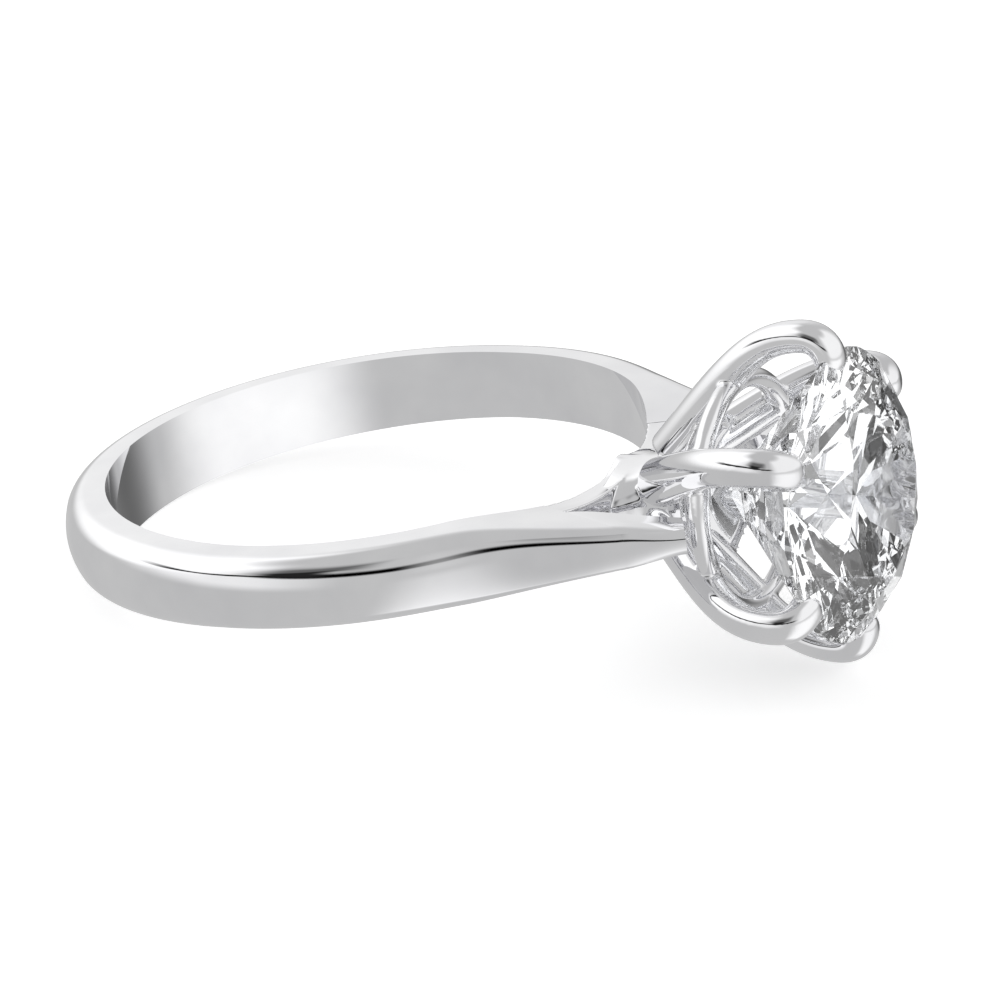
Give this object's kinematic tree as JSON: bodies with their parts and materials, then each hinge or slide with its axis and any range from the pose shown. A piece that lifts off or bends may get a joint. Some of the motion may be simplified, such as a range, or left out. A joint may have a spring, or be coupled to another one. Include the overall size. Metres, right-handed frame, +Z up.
{
  "type": "engagement ring",
  "caption": "Cathedral solitaire finger ring in polished white metal, with a round brilliant stone held by claw prongs over a tapered stem, lying on its side.",
  "frame": {"origin": "centre of the footprint, on the floor the ring lies on", "axes": "+X from the band towards the stone, +Z up, +Y across the ring; the finger hole's axis leans back from +Z by the resting tilt"},
  "size_m": [0.0262, 0.0192, 0.0102],
  "materials": {
    "white_gold": "mirror-polished white metal",
    "diamond": "clear colourless facetted stone"
  },
  "bodies": {
    "root": {"shank": "white_gold", "finger_rail": "white_gold", "head_stem": "white_gold", "prong_1": "white_gold", "prong_2": "white_gold", "prong_3": "white_gold", "prong_4": "white_gold", "prong_5": "white_gold", "prong_6": "white_gold", "gallery_ring": "white_gold", "shoulder_left": "white_gold", "shoulder_right": "white_gold", "centre_stone": "diamond"}
  },
  "joints": []
}
